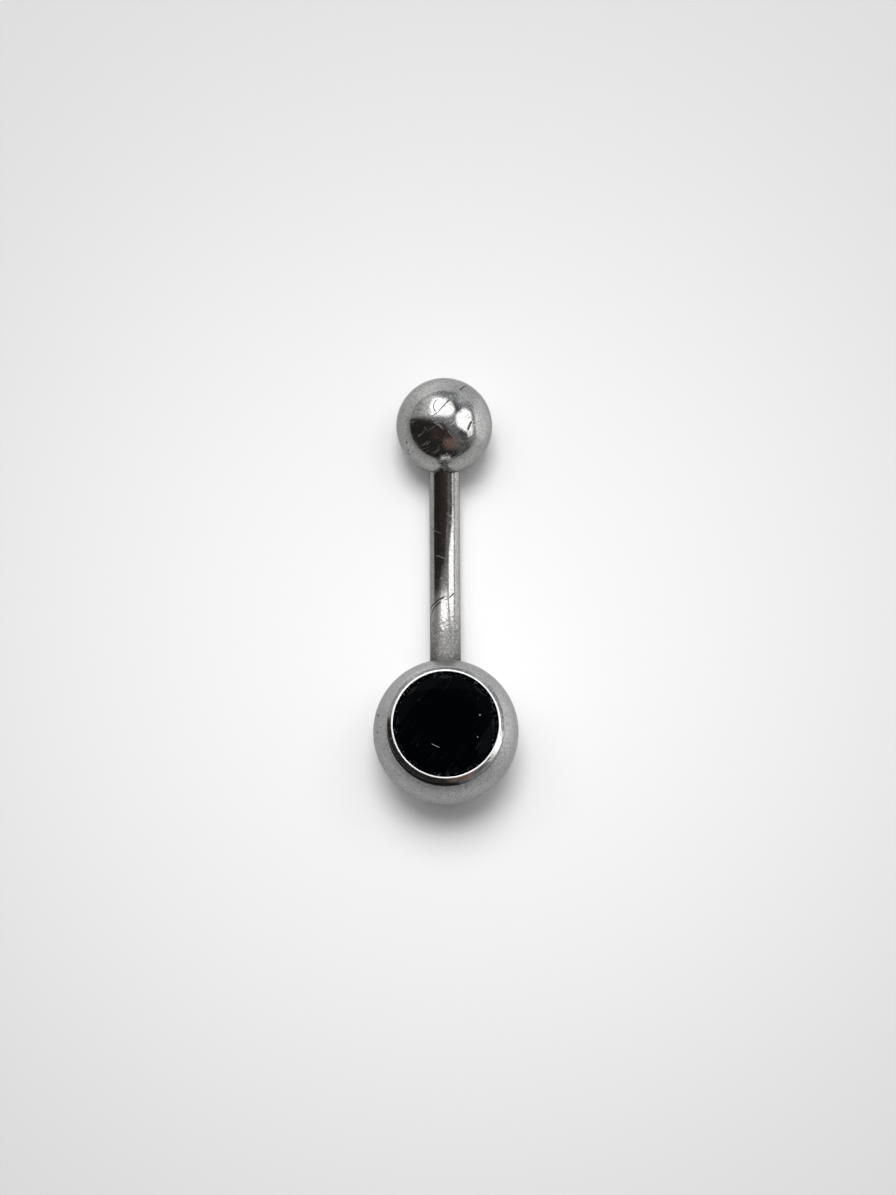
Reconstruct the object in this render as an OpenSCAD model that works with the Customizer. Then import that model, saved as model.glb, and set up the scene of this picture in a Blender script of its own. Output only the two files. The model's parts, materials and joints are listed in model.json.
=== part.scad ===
// Curved navel ring: a bent bar with a screw-on ball at the top and a ball with a set stone below.
// Millimetres. The ring lies on its two balls, stone up, as it does on a table: the bar runs along Y
// with the screw-on ball at +Y, and the origin is under the middle of the ring, on the table.

/* [Bar] */
// Thickness of the bar
bar_d = 1.6; // [1.5:0.05:2]
// Length of the bar, straight from ball to ball
bar_len = 10; // [9:0.5:12]
// Radius of the bend, to the middle of the bar
bend_r = 11; // [11:0.5:25]
// Straight stretch at each end of the bend
bar_end = 1.5; // [1.4:0.1:2]
// Broken edge round the bar's shoulders
shoulder_chamfer = 0.03; // [0.01:0.01:0.04]

/* [Screw post] */
// Thickness of the post over its thread
post_d = 1.44; // [1.2:0.02:1.5]
// Length of the post beyond the bar's shoulder
post_len = 2.6; // [2:0.1:3.4]
// Pitch of the thread
thread_pitch = 0.35; // [0.25:0.05:0.5]
// Depth of the thread
thread_depth = 0.12; // [0.05:0.01:0.16]
// Flat on the crest of the thread
thread_crest = 0.05; // [0.02:0.01:0.08]
// Plain neck between the shoulder and the thread
post_neck = 0.2; // [0.1:0.05:0.3]
// Bevel at the tip of the post
post_bevel = 0.16; // [0.05:0.01:0.25]

/* [Top ball] */
// Thickness of the ball that screws on
top_ball_d = 5; // [4.5:0.5:6]
// Room left in its bore past the tip of the post
bore_spare = 0.4; // [0.1:0.1:0.6]

/* [Gem ball] */
// Thickness of the ball that carries the stone
gem_ball_d = 7.5; // [7:0.5:9]
// Lean of the stone towards the bar, from straight up, as the ring lies
gem_lean = 9; // [0:1:20]
// Thickness of the pin that holds this ball on the bar
spigot_d = 1.1; // [0.9:0.1:1.4]
// Length of that pin
spigot_len = 1.9; // [1.4:0.1:2.1]
// Room left in its bore past the tip of the pin
spigot_spare = 0.15; // [0.05:0.05:0.25]

/* [Collar round the stone] */
// Height of the collar, from the ball to the top of the stone's edge
collar_h = 1.2; // [1:0.05:1.5]
// Wall of the collar outside the stone's edge
collar_wall = 0.15; // [0.14:0.01:0.22]
// How much wider the collar is at its foot, on the radius
collar_flare = 0.04; // [0.02:0.01:0.1]
// How far the rubbed-over lip reaches in over the stone
lip_over = 0.13; // [0.08:0.01:0.18]
// Height of the lip above the stone's edge
lip_h = 0.3; // [0.27:0.01:0.36]
// Width of the lip's flat top, from its inner edge out
lip_flat = 0.08; // [0.06:0.01:0.12]
// Angle at which the lip slopes down outside its flat top
lip_slope = 36; // [28:1:42]

/* [Stone] */
// Width of the stone, corner to corner
stone_d = 5.6; // [5.2:0.1:6.2]
// Number of main facets round the stone
mains = 8; // [8:1:12]
// Width of the table, flat to flat
table_d = 3.5; // [3:0.1:4]
// Height of the crown above the stone's edge
crown_h = 0.62; // [0.5:0.02:0.9]
// Thickness of the stone's edge
edge_h = 0.1; // [0.05:0.01:0.15]
// Depth of the back below the stone's edge
back_h = 2.3; // [1.8:0.1:2.5]
// Reach of the star facets from the table towards the edge
star_part = 0.5; // [0.4:0.05:0.6]
// Reach of the long back facets from the point towards the edge
back_part = 0.25; // [0.15:0.05:0.35]

/* [Seats and gaps] */
// Depth that each ball takes the bar in, from the ball's face
seat_depth = 0.25; // [0.2:0.01:0.35]
// Gap all round the bar where it enters a ball
seat_side_gap = 0.02; // [0.01:0.01:0.05]
// Gap between the bar's shoulder and the floor of its seat
seat_gap = 0.02; // [0.01:0.01:0.04]
// Gap all round the post in the screw-on ball
screw_gap = 0.02; // [0.01:0.01:0.05]
// Gap all round the pin in the gem ball
press_gap = 0.01; // [0.005:0.005:0.02]
// Gap all round the stone in its setting
stone_gap = 0.015; // [0.01:0.005:0.03]
// Bevel round the mouth of each seat
mouth_bevel = 0.05; // [0.02:0.01:0.08]

/* [Hidden] */
$fn = 96;
// a cutter starts this far outside the face that it cuts
overcut = 1;
// the straight ends are turned this much finer than the bend on the radius, and reach this far into it
end_step = 0.005;
end_lap = 0.05;
// the collar is rooted this far inside the ball
collar_root = 0.4;

bar_r = bar_d / 2;
post_r = post_d / 2;
spigot_r = spigot_d / 2;
top_ball_r = top_ball_d / 2;
gem_ball_r = gem_ball_d / 2;

// the bar in its own plane: x runs from ball to ball, y is up, and the bend's lowest point is at 0, 0
half_bend = asin(bar_len / 2 / norm([bend_r, bar_end])) - atan(bar_end / bend_r);
end_rise = bend_r * (1 - cos(half_bend)) + bar_end * sin(half_bend);
top_ball_at = [-bar_len / 2 - top_ball_r * cos(half_bend), end_rise + top_ball_r * sin(half_bend)];
gem_ball_at = [bar_len / 2 + gem_ball_r * cos(half_bend), end_rise + gem_ball_r * sin(half_bend)];

// the tilt at which both balls touch the table, and where the bar's own plane then lies
ball_span = gem_ball_at - top_ball_at;
rest_tilt = asin((gem_ball_r - top_ball_r) / norm(ball_span)) - atan(ball_span.y / ball_span.x);
function along(p) = p.x * cos(rest_tilt) - p.y * sin(rest_tilt);
function above(p) = p.x * sin(rest_tilt) + p.y * cos(rest_tilt);
rest_y = (along(top_ball_at) - top_ball_r + along(gem_ball_at) + gem_ball_r) / 2;
rest_z = top_ball_r - above(top_ball_at);

// the stone, from its own edge: heights are above the top of the edge
stone_r = stone_d / 2;
edges = 2 * mains;
facet_turn = 360 / edges;
table_r = table_d / 2 / cos(facet_turn);
crown_slope = crown_h / (stone_r - table_r);
star_r = table_d / 2 + star_part * (stone_r - table_d / 2);
star_z = (stone_r - star_r * cos(facet_turn)) * crown_slope;
edge_slope = star_z / (stone_r - star_r);
back_r = back_part * stone_r;
back_z = -edge_h - back_h * (1 - back_r * cos(facet_turn) / stone_r);
back_slope = (-edge_h - back_z) / (stone_r - back_r);

// the setting, from the middle of the gem ball: heights are along the stone's own axis
pocket_r = stone_r + stone_gap;
collar_r = pocket_r + collar_wall;
collar_foot_r = collar_r + collar_flare;
collar_foot_z = sqrt(gem_ball_r * gem_ball_r - collar_foot_r * collar_foot_r);
stone_z = collar_foot_z + collar_h;
lip_r = stone_r - lip_over;
lip_z = stone_z + lip_h;
lip_flat_r = lip_r + lip_flat;
lip_shoulder_z = lip_z - (collar_r - lip_flat_r) * tan(lip_slope);
collar_spread = collar_flare / (lip_shoulder_z - collar_foot_z);
gem_ball_z = rest_z + above(gem_ball_at);
gem_ball_y = rest_y - along(gem_ball_at);

// Places what is drawn in the bar's own plane where it lies on the table
module in_place() {
    translate([0, rest_y, rest_z])
        rotate([90, 0, -90])
            rotate([0, 0, rest_tilt])
                children();
}

// Places what is drawn along +Z at an end of the bar: 0 is the ball's face, and +Z leads into the ball.
// side is 1 at the gem ball and -1 at the screw-on ball.
module at_end(side) {
    translate([side * bar_len / 2, end_rise, 0])
        rotate([0, 0, 90 - side * (90 - half_bend)])
            rotate([0, 90, 0])
                children();
}

// Places what is drawn along the stone's own axis, 0 at the middle of the gem ball
module in_setting() {
    translate([0, gem_ball_y, gem_ball_z])
        rotate([-gem_lean, 0, 0])
            children();
}

// The profile of one end of the bar, with what is turned on its tip, from the axis outwards
module end_profile(tip) {
    shoulder = seat_depth - seat_gap;
    end_r = bar_r - end_step;
    polygon(concat(
        [
            [0, -bar_end - end_lap],
            [end_r, -bar_end - end_lap],
            [end_r, shoulder - shoulder_chamfer],
            [end_r - shoulder_chamfer, shoulder]
        ],
        [for (p = tip) [p.x, shoulder + p.y]]
    ));
}

// The threaded post: a neck, a row of ridges and a bevelled tip, from the shoulder up
function thread_points() =
    let (
        root_r = post_r - thread_depth,
        ridge = thread_pitch - thread_crest,
        ridges = floor((post_len - post_neck - post_bevel) / thread_pitch)
    )
    concat(
        [[root_r, 0]],
        [
            for (i = [0 : ridges - 1])
                let (z = post_neck + i * thread_pitch)
                each [
                    [root_r, z],
                    [post_r, z + (ridge - thread_crest) / 2],
                    [post_r, z + (ridge + thread_crest) / 2],
                    [root_r, z + ridge]
                ]
        ],
        [
            [root_r, post_len - post_bevel],
            [root_r - post_bevel, post_len],
            [0, post_len]
        ]
    );

// The plain pin that is pressed into the gem ball
function spigot_points() = [
    [spigot_r, 0],
    [spigot_r, spigot_len - shoulder_chamfer],
    [spigot_r - shoulder_chamfer, spigot_len],
    [0, spigot_len]
];

// The seat that a ball has for the bar: a bevelled mouth, a flat floor and a blind bore
module bar_seat(ball_r, bore_r, bore_depth) {
    mouth_r = bar_r + seat_side_gap;
    // the ball's face curves away from the bar, so the mouth's rim lies this deep
    rim_z = ball_r - sqrt(ball_r * ball_r - mouth_r * mouth_r);
    translate([0, 0, -overcut])
        cylinder(r = mouth_r, h = overcut + seat_depth);
    translate([0, 0, -overcut])
        cylinder(r = bore_r, h = overcut + seat_depth + bore_depth);
    translate([0, 0, rim_z - mouth_bevel])
        cylinder(r1 = mouth_r + 2 * mouth_bevel, r2 = mouth_r, h = 2 * mouth_bevel);
}

// The bent bar: one rod with a threaded post on one end and a plain pin on the other
module bar() {
    color([0.55, 0.54, 0.53])
        in_place() {
            translate([0, bend_r, 0])
                rotate([0, 0, -90 - half_bend])
                    rotate_extrude(angle = 2 * half_bend)
                        translate([bend_r, 0])
                            circle(d = bar_d);
            at_end(-1)
                rotate_extrude()
                    end_profile(thread_points());
            at_end(1)
                rotate_extrude()
                    end_profile(spigot_points());
        }
}

// The plain ball that screws off to put the ring in
module top_ball() {
    color([0.62, 0.62, 0.62])
        in_place()
            at_end(-1)
                difference() {
                    translate([0, 0, top_ball_r])
                        sphere(r = top_ball_r);
                    bar_seat(top_ball_r, post_r + screw_gap, post_len + bore_spare);
                }
}

// The hollow that the stone sits in: a cone for its back, a wall for its edge and the lip's underside
module stone_pocket() {
    floor_z = stone_z - edge_h - stone_gap;
    lip_under_z = stone_z + lip_over * edge_slope + stone_gap;
    top_z = lip_z + overcut;
    rotate_extrude()
        polygon([
            [0, floor_z - pocket_r * back_slope],
            [pocket_r, floor_z],
            [pocket_r, stone_z + stone_gap],
            [lip_r, lip_under_z],
            [lip_r, top_z],
            [0, top_z]
        ]);
}

// The collar, solid until the pocket is cut: a tapering wall, and a lip that slopes up to a narrow flat top
module collar() {
    root_z = collar_foot_z - collar_root;
    root_r = collar_foot_r + collar_root * collar_spread;
    rotate_extrude()
        polygon([
            [0, root_z],
            [root_r, root_z],
            [collar_r, lip_shoulder_z],
            [lip_flat_r, lip_z],
            [0, lip_z]
        ]);
}

// The lower ball with its collar, bored for the bar and hollowed for the stone
module gem_ball() {
    color([0.62, 0.61, 0.60])
        difference() {
            in_setting() {
                sphere(r = gem_ball_r);
                collar();
            }
            in_place()
                at_end(1)
                    bar_seat(gem_ball_r, spigot_r + press_gap, spigot_len + spigot_spare);
            in_setting()
                stone_pocket();
        }
}

// One ring of the stone's corners, evenly spaced
function corners(count, r, z, turn) =
    [for (i = [0 : count - 1]) [r * cos(turn + i * 360 / count), r * sin(turn + i * 360 / count), z]];

// The number of a corner in a ring whose first corner has the number first
function corner_at(first, count, i) = first + (i + count) % count;

// The rings follow each other from the point at the back, which is corner 0
function table_at(i) = corner_at(1, mains, i);
function star_at(i) = corner_at(1 + mains, mains, i);
function edge_top_at(i) = corner_at(1 + 2 * mains, edges, i);
function edge_foot_at(i) = corner_at(1 + 2 * mains + edges, edges, i);
function back_at(i) = corner_at(1 + 2 * mains + 2 * edges, mains, i);

// The facets that repeat round the stone at each main facet, corner by corner
function facets(i) = [
    [table_at(i), star_at(i), table_at(i - 1)],
    [table_at(i), star_at(i + 1), edge_top_at(2 * i + 1), star_at(i)],
    [star_at(i), edge_top_at(2 * i + 1), edge_top_at(2 * i)],
    [star_at(i), edge_top_at(2 * i), edge_top_at(2 * i - 1)],
    [edge_top_at(2 * i), edge_top_at(2 * i + 1), edge_foot_at(2 * i + 1), edge_foot_at(2 * i)],
    [edge_top_at(2 * i - 1), edge_top_at(2 * i), edge_foot_at(2 * i), edge_foot_at(2 * i - 1)],
    [back_at(i), edge_foot_at(2 * i), edge_foot_at(2 * i + 1)],
    [back_at(i), edge_foot_at(2 * i - 1), edge_foot_at(2 * i)],
    [0, back_at(i), edge_foot_at(2 * i + 1), back_at(i + 1)]
];

// The cut stone: a table, stars, kites and edge facets in front, and long facets to a point behind
module stone() {
    rings = concat(
        [[0, 0, -edge_h - back_h]],
        corners(mains, table_r, crown_h, facet_turn),
        corners(mains, star_r, star_z, 0),
        corners(edges, stone_r, 0, 0),
        corners(edges, stone_r, -edge_h, 0),
        corners(mains, back_r, back_z, 0)
    );
    table = [for (i = [mains - 1 : -1 : 0]) table_at(i)];
    around = [for (i = [0 : mains - 1]) each facets(i)];
    color([0.03, 0.03, 0.04])
        in_setting()
            translate([0, 0, stone_z])
                polyhedron(points = rings, faces = concat([table], around));
}

bar();
top_ball();
gem_ball();
stone();
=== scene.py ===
import json

import bpy
import numpy as np
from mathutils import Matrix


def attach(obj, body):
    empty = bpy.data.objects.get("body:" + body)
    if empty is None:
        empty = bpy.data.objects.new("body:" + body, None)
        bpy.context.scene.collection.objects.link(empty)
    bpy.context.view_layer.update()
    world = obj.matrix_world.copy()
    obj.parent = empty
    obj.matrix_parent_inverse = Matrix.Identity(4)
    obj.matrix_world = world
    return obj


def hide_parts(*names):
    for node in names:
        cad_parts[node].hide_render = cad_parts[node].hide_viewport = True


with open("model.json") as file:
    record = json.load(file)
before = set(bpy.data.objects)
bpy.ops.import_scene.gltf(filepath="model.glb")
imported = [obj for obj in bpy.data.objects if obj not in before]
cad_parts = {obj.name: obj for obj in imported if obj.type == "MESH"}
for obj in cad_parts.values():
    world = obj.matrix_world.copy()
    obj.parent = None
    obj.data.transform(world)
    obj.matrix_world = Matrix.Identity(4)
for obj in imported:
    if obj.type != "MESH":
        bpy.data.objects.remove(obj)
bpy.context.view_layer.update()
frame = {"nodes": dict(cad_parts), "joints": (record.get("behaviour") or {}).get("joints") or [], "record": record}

mm = 0.001

# The bar is one round steel rod, cold bent to an even arc with a short straight stretch at each end.
# Its top end is cut down to a threaded post for the screw-on ball, and its lower end to a plain pin
# that is pressed into the gem ball. It is tumbled bright, and worn by years of changing the ball.
piercing = frame["record"]["mounts"][0]
bar_r = piercing["dims"]["r_mm"] * mm
bar_len = piercing["dims"]["length_mm"] * mm
bar_end = 1.5 * mm
seat_depth = 0.25 * mm
seat_gap = 0.02 * mm
shoulder_bevel = 0.03 * mm
post_r = 0.72 * mm
post_len = 2.6 * mm
post_neck = 0.2 * mm
post_bevel = 0.16 * mm
thread_pitch = 0.35 * mm
thread_depth = 0.12 * mm
thread_flat = 0.05 * mm
pin_r = 0.55 * mm
pin_len = 1.9 * mm

# the bend lies in one upright plane: along and up are its directions at the middle of the bar
middle = np.array(piercing["pos_m"])
along = np.array(piercing["axis"]) / np.linalg.norm(piercing["axis"])
screw_axis = np.array(frame["joints"][0]["axis"])
screw_axis /= np.linalg.norm(screw_axis)
up = np.array([0, -along[2], along[1]])
side = np.cross(up, along)
half_bend = np.arccos(along @ screw_axis)
bend_r = (bar_len / 2 - bar_end * np.cos(half_bend)) / np.sin(half_bend)
face_s = bend_r * half_bend + bar_end


def centre_line(s):
    """Points, directions and upward normals of the bar's middle line at distances s from its middle.

    The line is an arc of radius bend_r as far as half_bend each way, and then runs straight on."""
    turn = np.clip(s / bend_r, -half_bend, half_bend)[:, None]
    ahead = np.cos(turn) * along + np.sin(turn) * up
    across = np.cos(turn) * up - np.sin(turn) * along
    start = middle + bend_r * (np.sin(turn) * along + (1 - np.cos(turn)) * up)
    return start + (s[:, None] - turn * bend_r) * ahead, ahead, across


def thread(height, angle):
    """How far the ridge stands above its root: a helix of even pitch with a flat crest and straight flanks,
    worked out from the distance to the nearest root, and faded in and out over half a turn."""
    turn = (height / thread_pitch - angle / (2 * np.pi)) % 1
    to_root = thread_pitch * np.minimum(turn, 1 - turn)
    flank = thread_pitch / 2 - thread_flat
    ridge = np.clip((to_root - thread_flat / 2) / flank, 0, 1)
    run = post_len - post_neck - post_bevel
    fade = np.clip(np.minimum(height, run - height) / (thread_pitch / 2), 0, 1)
    return thread_depth * ridge * fade


def skin(name, rows, first, last, crease=30):
    """A closed mesh over a grid of points, rows by columns: the columns go round, and each end row is closed
    to its pole. Edges sharper than the crease, in degrees, stay sharp."""
    count, columns = rows.shape[:2]
    points = np.concatenate([rows.reshape(-1, 3), [first, last]])
    here = np.arange(count * columns).reshape(count, columns)
    onward = np.roll(here, -1, axis=1)
    quads = np.stack([here[:-1], onward[:-1], onward[1:], here[1:]], axis=-1).reshape(-1, 4)
    poles = np.full(columns, count * columns)
    caps = np.concatenate([
        np.stack([poles, onward[0], here[0]], axis=-1),
        np.stack([poles + 1, here[-1], onward[-1]], axis=-1),
    ])
    mesh = bpy.data.meshes.new(name)
    mesh.from_pydata(points.tolist(), [], quads.tolist() + caps.tolist())
    mesh.shade_smooth()
    mesh.set_sharp_from_angle(angle=np.radians(crease))
    made = bpy.data.objects.new(name, mesh)
    bpy.context.scene.collection.objects.link(made)
    return made


def bar_rows(columns=160):
    """The bar's surface: circles round the middle line, from the pin's tip to the post's tip, each with the
    radius that the pin, rod or post has there, plus the thread's ridge where the post has one."""
    shoulder_s = face_s + seat_depth - seat_gap
    root_r = post_r - thread_depth
    run = post_len - post_neck - post_bevel
    turns = np.linspace(0, run, 130)
    rod = np.linspace(shoulder_bevel - shoulder_s, shoulder_s - shoulder_bevel, 140)
    stations = np.concatenate([
        [[-shoulder_s - pin_len, pin_r - shoulder_bevel], [-shoulder_s - pin_len + shoulder_bevel, pin_r]],
        [[-shoulder_s, pin_r], [-shoulder_s, bar_r - shoulder_bevel]],
        np.stack([rod, np.full(len(rod), bar_r)], -1),
        [[shoulder_s, bar_r - shoulder_bevel], [shoulder_s, root_r]],
        np.stack([shoulder_s + post_neck + turns, np.full(len(turns), root_r)], -1),
        [[shoulder_s + post_len, root_r - post_bevel]],
    ])
    s, r = stations[:, 0], stations[:, 1:]
    angle = np.linspace(0, 2 * np.pi, columns, endpoint=False)
    in_thread = (s > shoulder_s + post_neck / 2) & (s < shoulder_s + post_len - post_bevel / 2)
    height = np.where(in_thread, s - shoulder_s - post_neck, -1)[:, None]
    r = r + thread(height, angle)
    points, _, across = centre_line(s)
    ring = np.cos(angle)[None, :, None] * side + np.sin(angle)[None, :, None] * across[:, None]
    return points[:, None] + r[..., None] * ring, points[0], points[-1]


def add(tree, kind, sockets, **settings):
    """Adds a shader node with its settings and sockets, each a number, a colour or another node's output,
    listed in order or by name, and gives its first output in use."""
    made = tree.nodes.new("ShaderNode" + kind)
    for name, setting in settings.items():
        setattr(made, name, setting)
    pairs = sockets.items() if isinstance(sockets, dict) else enumerate(sockets)
    for place, value in pairs:
        if isinstance(value, bpy.types.NodeSocket):
            tree.links.new(value, made.inputs[place])
        else:
            made.inputs[place].default_value = value
    return next(o for o in made.outputs if o.enabled)


def sums(tree, operation, *values):
    """One step of arithmetic on numbers."""
    return add(tree, "Math", values, operation=operation)


def vector(tree, operation, *values):
    """One step of arithmetic on places, directions or colours."""
    return add(tree, "VectorMath", values, operation=operation)


def between(tree, value, low, high, start=0.0, end=1.0):
    """A smooth step of value from low to high, which gives start below and end above."""
    return add(tree, "MapRange", [value, low, high, start, end], interpolation_type="SMOOTHSTEP")


def product(tree, *values):
    """All the values multiplied together."""
    answer = values[0]
    for value in values[1:]:
        answer = sums(tree, "MULTIPLY", answer, value)
    return answer


def highest(tree, *values):
    """The largest of the values, which lays one mark over another."""
    answer = values[0]
    for value in values[1:]:
        answer = sums(tree, "MAXIMUM", answer, value)
    return answer


def total(tree, *values):
    """All the values added together."""
    answer = values[0]
    for value in values[1:]:
        answer = sums(tree, "ADD", answer, value)
    return answer


def blend(tree, share, start, end):
    """The value start where share is 0 and end where it is 1."""
    return add(tree, "Mix", {"Factor": share, "A": start, "B": end})


def noise(tree, place, size, detail=2.0, stretch=(1, 1, 1), turn=(0, 0, 0)):
    """Cloudy noise with features about size across, longer along an axis where stretch is above 1."""
    laid = add(tree, "Mapping", {
        "Vector": place,
        "Rotation": [np.radians(a) for a in turn],
        "Scale": [size * s for s in stretch],
    }, vector_type="TEXTURE")
    return add(tree, "TexNoise", {"Vector": laid, "Scale": 1.0, "Detail": detail})


def hairlines(tree, place, spacing, length, turn, width):
    """Fine straight scratches that run one way: where the surface cuts through thin sheets, which are the
    contours of noise drawn out along two axes, and kept in patches."""
    drawn = noise(tree, place, spacing, 0.0, stretch=(length / spacing, 1, length / spacing), turn=turn)
    off = sums(tree, "ABSOLUTE", sums(tree, "SUBTRACT", drawn, 0.5))
    line = between(tree, off, 0.0, width, 1.0, 0.0)
    patch = between(tree, noise(tree, place, 2 * spacing, 1.0, turn=turn), 0.5, 0.6)
    return product(tree, line, patch)


def scratch(tree, place, ends, bow, width):
    """One scratch on a surface, from end to end: points at one distance from a far centre, which bows the
    line by bow at its middle, and no further from its middle than its ends are."""
    start, end, outward = ends
    chord = end - start
    reach = np.linalg.norm(chord) / 2
    across = np.cross(outward, chord)
    across /= np.linalg.norm(across)
    radius = (reach ** 2 + bow ** 2) / (2 * abs(bow))
    centre = (start + end) / 2 + np.sign(bow) * across * (radius - abs(bow))
    away = vector(tree, "DISTANCE", place, list(centre))
    off = sums(tree, "ABSOLUTE", sums(tree, "SUBTRACT", away, radius))
    line = between(tree, off, 0.35 * width, width, 1.0, 0.0)
    from_middle = vector(tree, "DISTANCE", place, list((start + end) / 2))
    return product(tree, line, between(tree, from_middle, 0.8 * reach, 1.05 * reach, 1.0, 0.0))


def painted(name):
    """A new material, its tree, its shader, and the place on the piece that its patterns follow."""
    made = bpy.data.materials.new(name)
    made.use_nodes = True
    tree = made.node_tree
    shader = tree.nodes["Principled BSDF"]
    return made, tree, shader, tree.nodes.new("ShaderNodeTexCoord").outputs["Object"]


def relieved(tree, shader, height):
    """Gives the shader fine relief, from a height in millimetres."""
    bump = add(tree, "Bump", {"Strength": 1.0, "Distance": mm, "Height": height})
    tree.links.new(bump, shader.inputs["Normal"])


# worn steel: sizes of its cloudy patterns and pits, and hairlines that run four ways
grain_size = 0.09 * mm
blotch_size = 0.6 * mm
pit_spacing = 0.45 * mm
hairline_width = 0.018
hairline_ways = [
    # spacing and length in millimetres, and turn in degrees
    (0.35, 4, (20, 35, 50)),
    (0.3, 3, (70, -20, 115)),
    (0.4, 5, (-40, 60, 170)),
    (0.25, 3, (10, 5, -35)),
]
# roughness of scratches and pits, of dirt and painted shade, and of worn edges with their painted highlight, and
# the lighter tone painted on those edges
scratched_rough = 0.8
dirt_and_shade_rough = 0.5
rubbed_highlight_rough = 0.36
rubbed_highlight_tone = 0.74
# how much of its tone steel loses in each kind of mark: the last is dirt and painted shade
mark_loss = {"pit": 0.45, "light": 0.35, "deep": 0.8, "dirt_and_shade": 0.9}
# how much of the light that glances off the edge of a round comes back, clean, and where dirt and painted shade
# lie
clean_glance = 0.58
dirt_and_shade_glance = 0.03


def steel(name, tone, gloss, scuffs, marks):
    """Worn surgical steel, polished to the roughness gloss, with blotches, pits, and hairlines four ways
    where scuffs, from 0 to 1, is how much they show.

    marks takes the tree and the place and gives masks: light for burnished scratches, deep for dark ones,
    dull for lost polish and dull_rough for its roughness, one for dirt and painted shade, and one for worn edges
    painted lighter as a painted highlight."""
    made, tree, shader, place = painted(name)
    mark = {"light": 0.0, "deep": 0.0, "dull": 0.0, "dull_rough": 0.4, "dirt_and_shade": 0.0, "rubbed_highlight": 0.0}
    mark.update(marks(tree, place))
    grain = noise(tree, place, grain_size, 3.0)
    blotch = noise(tree, place, blotch_size, 2.0)
    lines = highest(tree, *[
        hairlines(tree, place, spacing * mm, length * mm, turn, hairline_width)
        for spacing, length, turn in hairline_ways
    ])
    lines = product(tree, lines, scuffs)
    cells = add(tree, "TexVoronoi", {"Vector": place, "Scale": 1 / pit_spacing})
    mark["pit"] = product(tree, between(tree, cells, 0.05, 0.1, 1.0, 0.0), between(tree, blotch, 0.5, 0.56))
    polish = total(tree, product(tree, blotch, 0.08), gloss - 0.04)
    rough = blend(tree, mark["dull"], polish, mark["dull_rough"])
    rough = total(tree, rough, product(tree, lines, 0.38))
    rough = blend(tree, highest(tree, mark["pit"], mark["light"], mark["deep"]), rough, scratched_rough)
    rough = blend(tree, mark["dirt_and_shade"], rough, dirt_and_shade_rough)
    rough = blend(tree, mark["rubbed_highlight"], rough, rubbed_highlight_rough)
    tree.links.new(rough, shader.inputs["Roughness"])
    # noise is about a half on the whole, which makes the shade about one; dull steel shows more grain
    shade = total(tree, product(tree, blotch, 0.35), blend(tree, mark["dull"], 0.025, -0.075))
    shade = total(tree, shade, product(tree, grain, blend(tree, mark["dull"], 1.6, 1.8)))
    for kind, loss in mark_loss.items():
        shade = product(tree, shade, blend(tree, mark[kind], 1.0, 1 - loss))
    # worn edges are painted lighter in tone here: a painted highlight
    shade = blend(tree, mark["rubbed_highlight"], shade, rubbed_highlight_tone / tone[0])
    glance = blend(tree, mark["dirt_and_shade"], clean_glance, dirt_and_shade_glance)
    tree.links.new(add(tree, "CombineColor", [glance, glance, glance]), shader.inputs["Specular Tint"])
    colour = add(tree, "VectorMath", {"Vector": list(tone), "Scale": shade}, operation="SCALE")
    tree.links.new(colour, shader.inputs["Base Color"])
    height = product(tree, grain, blend(tree, mark["dull"], 0.0004, 0.002))
    height = total(tree, height, product(tree, blotch, 0.003), product(tree, lines, -0.0006))
    height = total(tree, height, product(tree, highest(tree, mark["pit"], mark["deep"]), -0.006))
    height = total(tree, height, product(tree, mark["light"], -0.002))
    relieved(tree, shader, height)
    shader.inputs["Metallic"].default_value = 1.0
    return made


# the bar's own scratches, as seen from above, in millimetres: each runs from x and y to x and y, and bows
bar_scratches = [
    # from x, from y, to x, to y, bow, width, deep or light
    (-0.78, -1.00, 0.00, -0.34, 0.05, 0.045, "deep"),
    (0.00, -0.50, 0.12, -0.40, 0.01, 0.025, "deep"),
    (0.21, -0.36, 0.47, -0.12, 0.01, 0.045, "deep"),
    (-0.78, -1.52, -0.21, -0.61, -0.04, 0.042, "deep"),
    (-0.79, -2.05, -0.76, -1.50, 0.01, 0.045, "deep"),
    (-0.75, 3.42, -0.14, 3.00, 0.02, 0.036, "light"),
    (-0.50, 1.85, 0.08, 1.65, -0.02, 0.036, "light"),
    (0.15, 4.71, 0.44, 4.45, 0.02, 0.040, "light"),
    (0.10, 4.05, 0.36, 3.86, 0.02, 0.036, "light"),
    (0.22, 3.60, 0.14, 2.75, 0.04, 0.042, "light"),
]


def on_bar(x, y):
    """The point of the bar's upper side at x across and y along, and the outward direction there."""
    s = np.linspace(-face_s, face_s, 400)
    points, _, across = centre_line(s)
    tall = np.sqrt(bar_r ** 2 - x ** 2)
    surface = points + tall * across
    near = np.argmin(np.abs(surface[:, 1] - y))
    out = np.array([x, 0, 0]) + tall * across[near]
    return points[near] + out, out / bar_r


def scratched(tree, place, table, on_surface):
    """The light and deep masks of a table of scratches, on the surface that on_surface gives points of."""
    drawn = {"light": [], "deep": []}
    for from_x, from_y, to_x, to_y, bow, width, kind in table:
        start, outward = on_surface(from_x * mm, from_y * mm)
        end, _ = on_surface(to_x * mm, to_y * mm)
        drawn[kind].append(scratch(tree, place, (start, end, outward), bow * mm, width * mm))
    return {kind: highest(tree, *masks) for kind, masks in drawn.items() if masks}


# distances from the bar's low end to where it stops being dull and its seam dirty, and how far and at
# what size the patches at the edge of the dull stretch wander
dull_near, dull_far = 3.7 * mm, 5.5 * mm
seam_near, seam_far = 1.07 * mm, 1.14 * mm
wander = 5 * mm
wander_size = 0.12 * mm
unpolished_rough = 0.68


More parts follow.
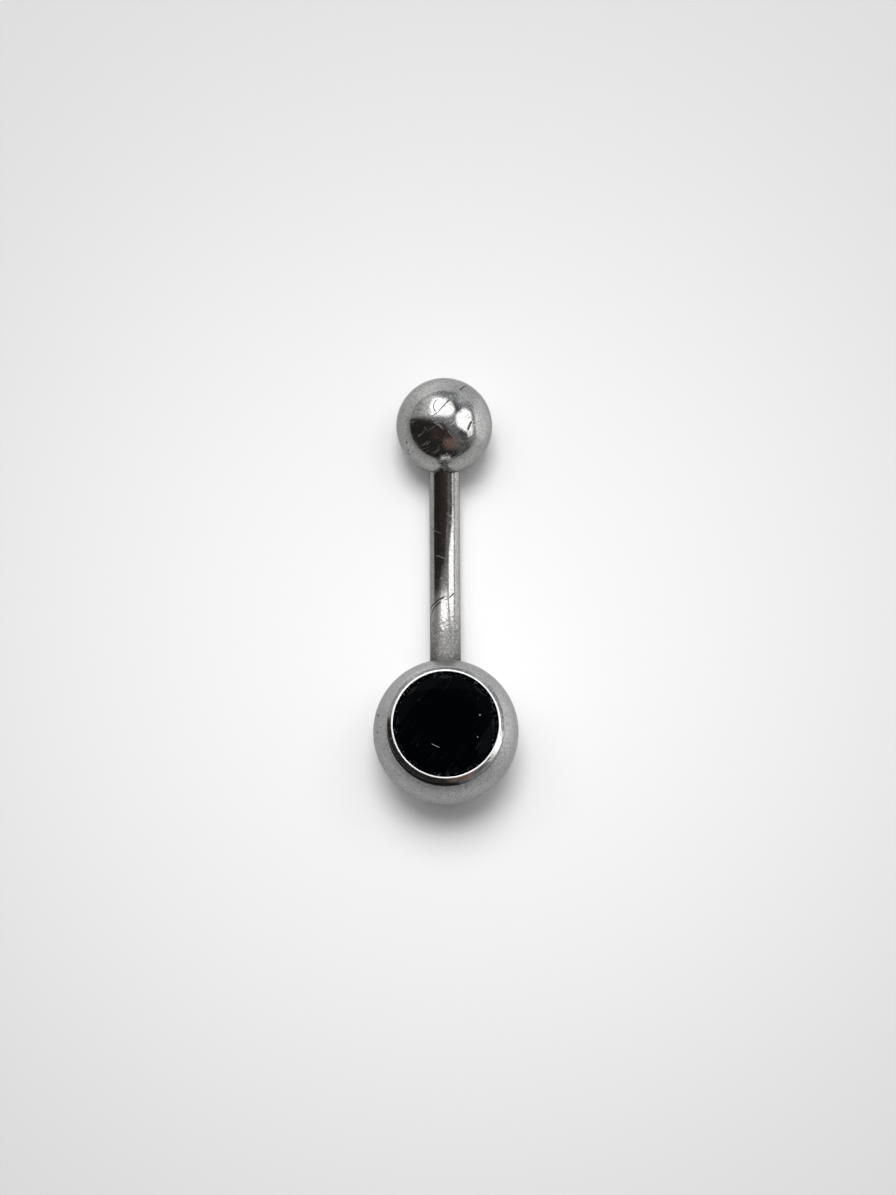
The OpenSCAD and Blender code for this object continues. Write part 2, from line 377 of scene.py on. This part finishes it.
def bar_marks(tree, place):
    """The bar's scratches, the dull stretch where the polishing wheel could not reach beside the gem ball,
    which starts in patches and takes over within two millimetres and is painted a little darker as painted shade,
    and dirt in the seam there."""
    masks = scratched(tree, place, bar_scratches, on_bar)
    end, _, _ = centre_line(np.array([-face_s]))
    far = vector(tree, "DISTANCE", place, list(end[0]))
    patchy = product(tree, noise(tree, place, wander_size, 3.0), wander)
    masks["dull"] = between(tree, total(tree, far, patchy), dull_near, dull_far, 1.0, 0.0)
    masks["dull_rough"] = unpolished_rough
    seam = between(tree, total(tree, far, product(tree, patchy, 0.1)), seam_near, seam_far, 0.7, 0.0)
    # the dull stretch is painted darker, a painted shade, and the seam darker still with dirt
    masks["dirt_and_shade"] = highest(tree, product(tree, masks["dull"], 0.3), seam)
    return masks


bar_tone = (0.3, 0.296, 0.29)
bent_bar = skin("bent_bar", *bar_rows())
bent_bar.data.materials.append(steel("bar steel", bar_tone, 0.13, 0.35, bar_marks))
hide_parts("bar")
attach(bent_bar, "ring")

# The screw-on ball is turned from steel rod, drilled and tapped for the post, and tumbled bright. Its mouth
# is bevelled and takes in the bar's shoulder. Turning it by hand each day has left it scratched and dulled.
top_ball_r = 2.5 * mm
side_gap = 0.02 * mm
mouth_bevel = 0.05 * mm
screw_gap = 0.02 * mm
bore_spare = 0.4 * mm


def across_axis(axis, towards):
    """Two directions square to the axis and to each other, the first as near towards as it can be."""
    first = towards - (towards @ axis) * axis
    first /= np.linalg.norm(first)
    return first, np.cross(axis, first)


def arc(centre, radius, start, end, count):
    """Points of a circular arc, as radius from the axis and height, from one angle to another in degrees,
    where 0 points away from the axis and 90 up it."""
    angle = np.radians(np.linspace(start, end, count))
    return np.stack([centre[0] + radius * np.cos(angle), centre[1] + radius * np.sin(angle)], -1)


def turned(profile, origin, axis, towards, angle):
    """The surface that a profile of radius and height sweeps round the axis, at each angle from towards."""
    first, second = across_axis(axis, towards)
    ring = np.cos(angle)[:, None] * first + np.sin(angle)[:, None] * second
    return origin + profile[:, None, 1:] * axis + profile[:, None, :1] * ring


def seat_profile(ball_r, bore_r, bore_len):
    """The seat for the bar, from the end of its bore out to the ball's face: bore, flat floor, wall, bevel.
    Heights are from the ball's face inwards. The bevel ends where its 45 degree slope meets the ball."""
    mouth_r = bar_r + side_gap
    rim = ball_r - np.sqrt(ball_r ** 2 - mouth_r ** 2)
    # on the slope radius + height = reach, and on the ball radius^2 + (ball_r - height)^2 = ball_r^2
    reach = mouth_r + rim + mouth_bevel
    middle_sum = (reach + ball_r) / 2
    height = middle_sum - np.sqrt(middle_sum ** 2 - reach ** 2 / 2)
    return np.array([
        [bore_r, seat_depth + bore_len],
        [bore_r, seat_depth],
        [mouth_r, seat_depth],
        [mouth_r, rim + mouth_bevel],
        [reach - height, height],
    ])


def finer(profile, step):
    """The same profile with points added along its straight runs, no further apart than the step."""
    parts = [profile[:1]]
    for start, end in zip(profile[:-1], profile[1:]):
        count = max(1, int(np.ceil(np.linalg.norm(end - start) / step)))
        parts.append(start + (end - start) * np.linspace(0, 1, count + 1)[1:, None])
    return np.concatenate(parts)


def screw_ball_rows(columns=256):
    """The screw-on ball's surface: its profile from the bore's end, over the mouth and round the far side."""
    seat = finer(seat_profile(top_ball_r, post_r + screw_gap, post_len + bore_spare), 0.1 * mm)
    mouth = np.degrees(np.arctan2(seat[-1, 1] - top_ball_r, seat[-1, 0]))
    ball = arc((0, top_ball_r), top_ball_r, mouth, 90, 150)[1:-1]
    profile = np.concatenate([seat, ball])
    angle = np.linspace(0, 2 * np.pi, columns, endpoint=False)
    rows = turned(profile, top_face, screw_axis, up, angle)
    return rows, top_face + profile[0, 1] * screw_axis, top_face + 2 * top_ball_r * screw_axis


# the ball's scratches, as seen from above, in millimetres from its middle
ball_scratches = [
    # from x, from y, to x, to y, bow, width, deep or light
    (1.19, 2.01, 0.81, 1.74, 0.03, 0.045, "deep"),
    (0.78, 1.46, -0.33, 0.52, 0.08, 0.042, "light"),
    (0.60, 1.47, -0.05, 0.85, 0.05, 0.034, "light"),
    (-0.33, 0.52, -0.66, 0.30, 0.03, 0.034, "light"),
    (-0.28, 1.27, -0.35, 0.53, 0.22, 0.042, "light"),
    (1.43, 0.14, 1.20, -0.38, 0.01, 0.060, "deep"),
    (1.36, 0.82, 1.44, 0.12, -0.10, 0.034, "deep"),
    (1.36, 0.10, 1.15, -0.30, 0.01, 0.030, "light"),
    (-1.37, -0.68, -1.00, -0.36, 0.01, 0.036, "light"),
    (-1.11, -1.12, -0.84, -0.86, 0.01, 0.036, "light"),
    (-0.94, -1.10, -0.70, -0.88, 0.01, 0.034, "light"),
    (0.20, -0.38, 0.53, -0.74, 0.01, 0.040, "light"),
    (-0.40, 0.12, -0.02, -0.34, -0.02, 0.032, "light"),
    (-0.52, 0.06, -0.10, -0.26, -0.02, 0.032, "light"),
    (-0.43, -1.46, -0.26, -1.20, 0.01, 0.034, "light"),
    (-1.00, -0.18, -0.80, -0.42, 0.01, 0.032, "light"),
    (-1.65, 0.13, -1.59, 0.07, 0.01, 0.070, "light"),
    (-1.97, -0.86, -1.90, -0.96, 0.01, 0.080, "deep"),
    (-1.89, -1.26, -1.83, -1.36, 0.01, 0.080, "deep"),
    (-1.84, -1.44, -1.78, -1.54, 0.01, 0.065, "deep"),
    (-1.63, -1.34, -1.57, -1.42, 0.01, 0.065, "deep"),
]
top_face = centre_line(np.array([face_s]))[0][0]
top_centre = top_face + top_ball_r * screw_axis


def on_screw_ball(x, y):
    """The point of the screw-on ball's upper side at x and y, and the outward direction there."""
    out = np.array([x, y, np.sqrt(top_ball_r ** 2 - x ** 2 - y ** 2)])
    return top_centre + out, out / top_ball_r


def screw_ball_marks(tree, place):
    """The screw-on ball's scratches."""
    return scratched(tree, place, ball_scratches, on_screw_ball)


ball_tone = (0.32, 0.32, 0.317)
screw_on_ball = skin("screw_on_ball", *screw_ball_rows())
screw_on_ball.data.materials.append(steel("ball steel", ball_tone, 0.12, 0.85, screw_ball_marks))
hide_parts("top_ball")
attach(screw_on_ball, "screw_ball")

# The gem ball is turned in one piece with its collar, bored for the bar's pin and hollowed for the stone.
# Its lip is rubbed over the stone's edge and dressed to a slope. The ball is satin, the collar polished.
gem_ball_r = 3.75 * mm
gem_lean = np.radians(9)
pin_gap = 0.01 * mm
pin_spare = 0.15 * mm
collar_h = 1.2 * mm
collar_wall = 0.15 * mm
collar_flare = 0.04 * mm
lip_over = 0.13 * mm
lip_h = 0.3 * mm
lip_flat = 0.08 * mm
lip_slope = np.radians(36)
stone_r = 2.8 * mm
stone_gap = 0.015 * mm
edge_h = 0.1 * mm
# slopes of the stone's edge facets and of its back, which the lip's underside and the pocket follow
edge_slope = 0.91
back_slope = 0.842

gem_axis = np.array([0, np.sin(gem_lean), np.cos(gem_lean)])
low_face, low_ahead, _ = (a[0] for a in centre_line(np.array([-face_s])))
into_gem_ball = -low_ahead
gem_centre = low_face + gem_ball_r * into_gem_ball
pocket_r = stone_r + stone_gap
collar_r = pocket_r + collar_wall
collar_foot_r = collar_r + collar_flare
collar_foot_z = np.sqrt(gem_ball_r ** 2 - collar_foot_r ** 2)
stone_z = collar_foot_z + collar_h
lip_r = stone_r - lip_over
lip_z = stone_z + lip_h
lip_shoulder_z = lip_z - (collar_r - lip_r - lip_flat) * np.tan(lip_slope)


def between_rings(foot_angle, mouth_angle, mouth_tilt, columns, rows):
    """Points of a unit ball between two rings on it: the collar's foot, round the ball's own pole, and the
    mouth for the bar, round a point mouth_tilt away. Angles are in radians from each ring's own middle.

    The ball is laid flat by stereographic projection, where both rings are circles. A fraction
    (w - a) / (w - b) turns them into circles round one middle when a and b mirror each other in both.
    Even steps of angle and of the radius's logarithm there come back as a smooth grid on the ball."""
    foot = np.tan(foot_angle / 2)
    near, far = np.tan((mouth_tilt - mouth_angle) / 2), np.tan((mouth_tilt + mouth_angle) / 2)
    middle_x, radius = (near + far) / 2, (far - near) / 2
    both = (middle_x ** 2 + foot ** 2 - radius ** 2) / middle_x
    spread = np.sqrt(both ** 2 - 4 * foot ** 2)
    a, b = (both - spread) / 2, (both + spread) / 2
    low, high = abs((foot - a) / (foot - b)), abs((near - a) / (near - b))
    turn = (np.arange(columns) + 0.5) * 2 * np.pi / columns
    level = np.exp(np.linspace(np.log(high), np.log(low), rows))[:, None]
    flat = level * np.exp(1j * turn)
    w = (a - b * flat) / (1 - flat)
    polar, way = 2 * np.arctan(np.abs(w)), np.angle(w)
    return np.stack([np.sin(polar) * np.cos(way), np.sin(polar) * np.sin(way), np.cos(polar)], -1)


def eased(profile, radii, count=7):
    """The same profile with its inner corners rounded off: at each one, an arc that touches both sides."""
    parts = [profile[:1]]
    for before, corner, after, radius in zip(profile[:-2], profile[1:-1], profile[2:], radii):
        back = (before - corner) / np.linalg.norm(before - corner)
        onward = (after - corner) / np.linalg.norm(after - corner)
        half = np.arccos(back @ onward) / 2
        centre = corner + (back + onward) / np.linalg.norm(back + onward) * radius / np.sin(half)
        chord = corner + np.linspace(back, onward, count) * radius / np.tan(half) - centre
        parts.append(centre + radius * chord / np.linalg.norm(chord, axis=1, keepdims=True))
    return np.concatenate(parts + [profile[-1:]])


def gem_ball_rows(columns=288):
    """The gem ball's surface in one grid: from the end of the bar's bore out to its mouth, over the ball to
    the collar's foot, up the collar, over the lip and down into the stone's pocket."""
    seat = finer(seat_profile(gem_ball_r, pin_r + pin_gap, pin_len + pin_spare), 0.12 * mm)
    mouth_angle = np.arcsin(seat[-1, 0] / gem_ball_r)
    foot_angle = np.arcsin(collar_foot_r / gem_ball_r)
    to_mouth = -into_gem_ball
    first, second = across_axis(gem_axis, to_mouth)
    ball = between_rings(foot_angle, mouth_angle, np.arccos(gem_axis @ to_mouth), columns, 110)
    ball = ball[..., :1] * first + ball[..., 1:2] * second + ball[..., 2:] * gem_axis
    ball = gem_centre + gem_ball_r * ball
    # the seat and the collar take up the ball's own columns at the rings where they meet it
    across, over = across_axis(into_gem_ball, gem_axis)
    rim = ball[0] - gem_centre
    seat_rows = turned(seat[:-1], low_face, into_gem_ball, gem_axis, np.arctan2(rim @ over, rim @ across))
    rim = ball[-1] - gem_centre
    outside = np.array([
        [collar_foot_r, collar_foot_z],
        [collar_r, lip_shoulder_z],
        [lip_r + lip_flat, lip_z],
        [lip_r, lip_z],
        [lip_r, stone_z + lip_over * edge_slope + stone_gap],
    ])
    outside = eased(outside, [0.045 * mm, 0.06 * mm, 0.02 * mm])
    collar = np.concatenate([
        finer(outside, 0.08 * mm)[1:],
        [[pocket_r, stone_z + stone_gap], [pocket_r, stone_z - edge_h - stone_gap]],
    ])
    collar_rows = turned(collar, gem_centre, gem_axis, to_mouth, np.arctan2(rim @ second, rim @ first))
    pocket_foot = gem_centre + (stone_z - edge_h - stone_gap - pocket_r * back_slope) * gem_axis
    return np.concatenate([seat_rows, ball, collar_rows]), low_face + seat[0, 1] * into_gem_ball, pocket_foot


# pits and nicks of the gem ball, as seen from above, in millimetres from its middle
gem_scratches = [
    # from x, from y, to x, to y, bow, width, deep or light
    (-3.49, 0.98, -3.43, 0.88, 0.01, 0.080, "deep"),
    (-0.43, -3.23, -0.35, -3.23, 0.01, 0.075, "deep"),
    (0.43, -3.23, 0.51, -3.24, 0.01, 0.075, "deep"),
    (-3.53, 0.12, -3.48, 0.03, 0.01, 0.065, "deep"),
    (2.95, -0.75, 3.05, -1.35, 0.02, 0.025, "light"),
]


def on_gem_ball(x, y):
    """The point of the gem ball's upper side at x and y from its middle, and the outward direction there."""
    out = np.array([x, y, np.sqrt(gem_ball_r ** 2 - x ** 2 - y ** 2)])
    return gem_centre + out, out / gem_ball_r


def about_collar(tree, place):
    """The way from the gem ball's middle to the place, and how far off the collar's axis the place is."""
    from_middle = vector(tree, "SUBTRACT", place, list(gem_centre))
    off_axis = vector(tree, "CROSS_PRODUCT", from_middle, list(gem_axis))
    return from_middle, vector(tree, "LENGTH", off_axis)


# the ways, as seen from above, that the lip is painted lighter as a painted highlight, and that the collar's wall
# is painted dark as a painted shade
highlight_way = [0.84, -0.54, 0.0]
shade_way = [-0.57, -0.82, 0.0]
satin_rough = 0.3


def gem_ball_marks(tree, place):
    """The gem ball's nicks, its satin body below the collar, its lip's top edge and one side of its slope painted
    lighter as a painted highlight over worn metal, and one side of the collar's wall painted dark as a painted
    shade, with dirt in the seam by the bar."""
    masks = scratched(tree, place, gem_scratches, on_gem_ball)
    from_middle, out = about_collar(tree, place)
    height = vector(tree, "DOT_PRODUCT", from_middle, list(gem_axis))
    masks["dull"] = between(tree, height, collar_foot_z - 0.02 * mm, collar_foot_z + 0.02 * mm, 1.0, 0.0)
    masks["dull_rough"] = satin_rough
    # the lip's top edge all round, and its slope on one side, are painted lighter: a painted highlight
    rim = between(tree, height, lip_z - 0.014 * mm, lip_z - 0.003 * mm)
    grain = noise(tree, place, 0.12 * mm, 3.0)
    towards_highlight = sums(tree, "DIVIDE", vector(tree, "DOT_PRODUCT", from_middle, highlight_way), out)
    towards_highlight = total(tree, towards_highlight, product(tree, grain, 0.25))
    slope = between(tree, height, lip_shoulder_z - 0.3 * mm, lip_shoulder_z - 0.1 * mm)
    masks["rubbed_highlight"] = highest(tree, rim, product(tree, slope, between(tree, towards_highlight, 0.93, 1.06)))
    # one side of the collar's wall, from its foot up to the lip, is painted dark in patches: a painted shade; the
    # seam by the bar is dirty
    towards = sums(tree, "DIVIDE", vector(tree, "DOT_PRODUCT", from_middle, shade_way), out)
    one_side = between(tree, towards, 0.35, 0.65)
    cloud = product(tree, grain, 0.1 * mm)
    low = between(tree, total(tree, height, cloud), collar_foot_z + 0.02 * mm, collar_foot_z + 0.12 * mm)
    high = between(tree, height, lip_shoulder_z - 0.02 * mm, lip_shoulder_z + 0.03 * mm, 1.0, 0.0)
    seam = vector(tree, "DISTANCE", place, list(low_face))
    seam = between(tree, total(tree, seam, product(tree, grain, 0.3 * mm)), 1.1 * mm, 1.2 * mm, 0.8, 0.0)
    patchy = between(tree, noise(tree, place, 0.4 * mm, 2.0), 0.35, 0.6, 1.0, 0.86)
    masks["dirt_and_shade"] = highest(tree, product(tree, low, high, one_side, patchy), seam)
    return masks


gem_ball_tone = (0.36, 0.36, 0.36)
gem_ball_body = skin("gem_ball_body", *gem_ball_rows())
gem_ball_body.data.materials.append(steel("gem ball steel", gem_ball_tone, 0.1, 0.6, gem_ball_marks))
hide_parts("gem_ball")
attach(gem_ball_body, "ring")

# The stone is black glass, cut with a table, stars, kites and edge facets, and held by the lip all round.
# Wear has left a speck, a short scratch and chips on it, and dust has gathered under the lip.
stone_marks = [
    # from x, from y, to x, to y, bow, width, deep or light
    (-0.72, -1.02, -0.31, -1.22, 0.01, 0.016, "light"),
    (1.69, 0.38, 1.75, 0.44, 0.01, 0.070, "light"),
    (1.58, -0.66, 1.63, -0.74, 0.01, 0.022, "light"),
]
crown_h = 0.62 * mm
clear_glass = (0.0004, 0.0008, 0.0012, 1)
dusty_glass = (0.35, 0.36, 0.37, 1)


def on_table(x, y):
    """The point of the stone's table at x and y from its middle, and the outward direction there."""
    across = np.array([0, np.cos(gem_lean), -np.sin(gem_lean)])
    return gem_centre + (stone_z + crown_h) * gem_axis + np.array([x, 0, 0]) + y * across, gem_axis


def black_glass():
    """Black cut glass: dark straight on and glossy at a slant. Marks, and dust near the lip, are pale."""
    made, tree, shader, place = painted("black glass")
    own = scratched(tree, place, stone_marks, on_table)["light"]
    _, out = about_collar(tree, place)
    cells = add(tree, "TexVoronoi", {"Vector": place, "Scale": 1 / (0.1 * mm)})
    specks = product(
        tree,
        between(tree, cells, 0.15, 0.35, 1.0, 0.0),
        between(tree, noise(tree, place, 0.25 * mm, 2.0), 0.46, 0.58),
        between(tree, out, 2.4 * mm, 2.66 * mm),
    )
    worn = hairlines(tree, place, 0.3 * mm, 2 * mm, (10, 20, 60), 0.04)
    worn = product(tree, worn, between(tree, out, 1.2 * mm, 2.0 * mm), 0.025)
    marked = highest(tree, own, product(tree, specks, 0.7), worn)
    colour = add(tree, "Mix", {"Factor": marked, 6: clear_glass, 7: dusty_glass}, data_type="RGBA")
    tree.links.new(colour, shader.inputs["Base Color"])
    haze = noise(tree, place, 0.5 * mm, 3.0)
    rough = total(tree, product(tree, haze, 0.08), product(tree, marked, 0.5))
    tree.links.new(rough, shader.inputs["Roughness"])
    relieved(tree, shader, total(tree, product(tree, haze, 0.001), product(tree, marked, -0.003)))
    shader.inputs["IOR"].default_value = 1.25
    shader.inputs["Specular Tint"].default_value = (0.01, 0.012, 0.015, 1)
    return made


stone = frame["nodes"]["stone"]
stone.data.materials.clear()
stone.data.materials.append(black_glass())

# The table is a wide sheet of pale satin board, with a painted pool of light: its tone falls off a little away
# from the ring.
table_r = 3.0
table_tone = 0.95
painted_dim_tone = 0.62
falloff = 32.5 * mm
lightest_y = -3 * mm


def pale_board():
    """Pale board with a painted pool of light, lightest at its middle: the tone falls off as a bell curve of the
    distance.
    """
    made, tree, shader, place = painted("pale board")
    far = vector(tree, "SUBTRACT", place, [0, lightest_y, 0])
    far = add(tree, "VectorMath", {"Vector": far, "Scale": 1 / falloff}, operation="SCALE")
    far = vector(tree, "DOT_PRODUCT", far, far)
    bell = sums(tree, "EXPONENT", product(tree, far, -1.0))
    tone = add(tree, "MapRange", [bell, 0.0, 1.0, painted_dim_tone, table_tone])
    tree.links.new(add(tree, "CombineColor", [tone, tone, tone]), shader.inputs["Base Color"])
    shader.inputs["Roughness"].default_value = 0.35
    shader.inputs["Specular IOR Level"].default_value = 0.8
    return made


turn = np.linspace(0, 2 * np.pi, 64, endpoint=False)
rim = table_r * np.stack([np.cos(turn), np.sin(turn), 0 * turn], -1)
board = bpy.data.meshes.new("table")
board.from_pydata(rim.tolist(), [], [list(range(64))])
board.materials.append(pale_board())
table = bpy.data.objects.new("table", board)
bpy.context.scene.collection.objects.link(table)

# The camera looks straight down from where a phone was held, a touch turned, with the ring in the middle.
camera_at = np.array([0.15, -0.365, 150]) * mm
camera_turn = np.radians(-0.317)
lens = bpy.data.cameras.new("camera")
lens.lens = 85.4
lens.sensor_width = 36
lens.clip_start, lens.clip_end = 0.01, 20
camera = bpy.data.objects.new("camera", lens)
camera.location = camera_at
camera.rotation_euler = (0, 0, camera_turn)
bpy.context.scene.collection.objects.link(camera)
bpy.context.scene.camera = camera

# The light is a large soft lamp beyond the top ball, weaker ones beside it, and a little from all round.
lamps = [
    # turn round the table from the camera's right and height above it, in degrees, strength and width
    (93, 66.5, 2.07, 22),
    (48, 62, 0.41, 24),
    (135, 62, 0.40, 24),
]
for lamp_turn, lamp_height, strength, lamp_width in lamps:
    lamp = bpy.data.lights.new("soft lamp", "SUN")
    lamp.energy = strength
    lamp.angle = np.radians(lamp_width)
    soft_lamp = bpy.data.objects.new("soft lamp", lamp)
    soft_lamp.rotation_euler = (np.radians(lamp_height - 90), 0, np.radians(lamp_turn - 90))
    soft_lamp.visible_glossy = False
    bpy.context.scene.collection.objects.link(soft_lamp)
world = bpy.data.worlds.new("pale room")
world.use_nodes = True
room = world.node_tree
is_camera = room.nodes.new("ShaderNodeLightPath").outputs["Is Camera Ray"]
fill, backdrop = (0.205, 0.205, 0.205, 1), (0.465, 0.465, 0.465, 1)
air = add(room, "Mix", {"Factor": is_camera, 6: fill, 7: backdrop}, data_type="RGBA")
room.links.new(air, room.nodes["Background"].inputs["Color"])
bpy.context.scene.world = world
bpy.context.scene.view_settings.view_transform = "Standard"

# What the steel mirrors is a dim room with two windows, a wide dome that only reflections see. Each patch
# of light is drawn where a mirror ball shows it from above: across and up from the middle, in ball radii.
dome_r = 2.9
below_table = np.radians(2)
towards_camera = camera_at - top_centre
towards_camera /= np.linalg.norm(towards_camera)
dim_light = (0.046, 0.042, 0.038)
patches = [
    # brightness, soft edge, colour, and corners
    (3.4, 0.10, (1.0, 1.0, 0.99),
     [(-0.27, 0.18), (0.14, 0.15), (0.23, 0.28), (0.10, 0.50), (-0.20, 0.54), (-0.27, 0.44)]),
    (0.75, 0.24, (1.0, 1.0, 0.98), [(-0.44, 0.16), (-0.10, 0.14), (-0.06, 0.58), (-0.38, 0.58)]),
    (3.3, 0.08, (1.0, 1.0, 1.0),
     [(0.25, 0.19), (0.26, -0.05), (0.45, -0.17), (0.57, -0.06), (0.585, 0.10), (0.55, 0.24), (0.42, 0.32)]),
    (2.4, 0.06, (1.0, 1.0, 1.0), [(0.46, -0.12), (0.50, -0.28), (0.59, -0.22), (0.60, -0.04)]),
    (0.64, 0.10, (1.0, 1.0, 0.97),
     [(-0.70, 0.12), (-0.20, 0.17), (-0.20, 0.58), (-0.40, 0.56), (-0.62, 0.36)]),
    (0.46, 0.16, (0.96, 1.0, 1.04),
     [(-0.50, 0.50), (0.20, 0.42), (0.36, 0.38), (0.48, 0.44), (0.30, 0.80), (-0.40, 0.80)]),
    (0.50, 0.16, (0.96, 1.0, 1.04), [(0.26, 0.36), (0.60, 0.20), (0.80, 0.24), (0.45, 0.80), (0.30, 0.64)]),
    (1.00, 0.08, (1.0, 1.0, 1.0), [(0.61, 0.30), (0.85, 0.40), (0.50, 0.90), (0.26, 0.63), (0.47, 0.49)]),
    (0.42, 0.14, (1.0, 1.0, 1.0), [(0.54, -0.45), (0.74, -0.45), (0.74, 0.45), (0.60, 0.30)]),
    (1.30, 0.08, (1.0, 1.0, 1.0), [(0.66, -0.25), (0.85, -0.25), (0.85, 0.45), (0.62, 0.38)]),
    (0.30, 0.18, (1.0, 1.0, 1.05), [(-0.10, 0.20), (0.05, -0.12), (0.30, -0.30), (0.30, 0.20)]),
    (0.30, 0.12, (1.0, 1.0, 1.04), [(-0.34, 0.19), (-0.24, 0.04), (0.25, 0.00), (0.25, 0.19)]),
    (0.17, 0.18, (1.0, 1.0, 1.0), [(0.22, -0.25), (0.30, -0.70), (0.65, -0.40), (0.45, -0.20)]),
    (0.27, 0.10, (1.0, 0.66, 0.52), [(-0.02, -0.32), (0.04, -0.54), (0.30, -0.50), (0.27, -0.30)]),
    (0.035, 0.10, (1.0, 0.45, 0.40), [(-0.28, -0.05), (-0.28, -0.32), (0.14, -0.32), (0.14, -0.05)]),
]


def dim_room():
    """Light by direction: a dim even room, and over it each patch as a soft-edged shape in the mirror ball's
    picture. A shape is what lies inside every one of its sides, and all the patches add up."""
    made, tree, shader, place = painted("dim room")
    made.cycles.emission_sampling = "NONE"
    tree.nodes.remove(shader)
    # a mirror ball shows a direction at the normal halfway between it and the direction of the camera
    outward = vector(tree, "NORMALIZE", place)
    shown = vector(tree, "NORMALIZE", vector(tree, "ADD", outward, list(towards_camera)))
    light = dim_light
    for bright, soft, colour, corners in patches:
        corners = np.array(corners)
        onward = np.roll(corners, -1, axis=0)
        sides = onward - corners
        inward = np.stack([-sides[:, 1], sides[:, 0]], -1) / np.linalg.norm(sides, axis=1, keepdims=True)
        if np.sum(corners[:, 0] * onward[:, 1] - corners[:, 1] * onward[:, 0]) < 0:
            inward = -inward
        masks = []
        for corner, across in zip(corners, inward):
            inside = vector(tree, "DOT_PRODUCT", shown, [*across, 0.0])
            edge = float(corner @ across)
            masks.append(between(tree, inside, edge - soft / 2, edge + soft / 2))
        glow = product(tree, *masks, bright)
        glow = add(tree, "VectorMath", {"Vector": colour, "Scale": glow}, operation="SCALE")
        light = vector(tree, "ADD", light, glow)
    # the table and the ring's own rounds mirror it again, more strongly than plain steel and paint would
    once_more = between(tree, tree.nodes.new("ShaderNodeLightPath").outputs["Ray Depth"], 1.2, 1.8, 1.0, 1.8)
    glowing = tree.nodes.new("ShaderNodeEmission")
    tree.links.new(light, glowing.inputs["Color"])
    tree.links.new(once_more, glowing.inputs["Strength"])
    tree.links.new(glowing.outputs[0], tree.nodes["Material Output"].inputs["Surface"])
    return made


steps = np.linspace(-below_table, np.pi / 2, 40)[:-1, None]
turn = np.linspace(0, 2 * np.pi, 96, endpoint=False)
dome_rows = [np.cos(steps) * np.cos(turn), np.cos(steps) * np.sin(turn), np.sin(steps)]
dome_rows = dome_r * np.stack(np.broadcast_arrays(*dome_rows), -1)
dome = skin("dim_room", dome_rows, (0, 0, -dome_r * np.sin(below_table)), (0, 0, dome_r))
dome.data.materials.append(dim_room())
dome.visible_camera = dome.visible_diffuse = dome.visible_shadow = False
dome.visible_transmission = dome.visible_volume_scatter = False
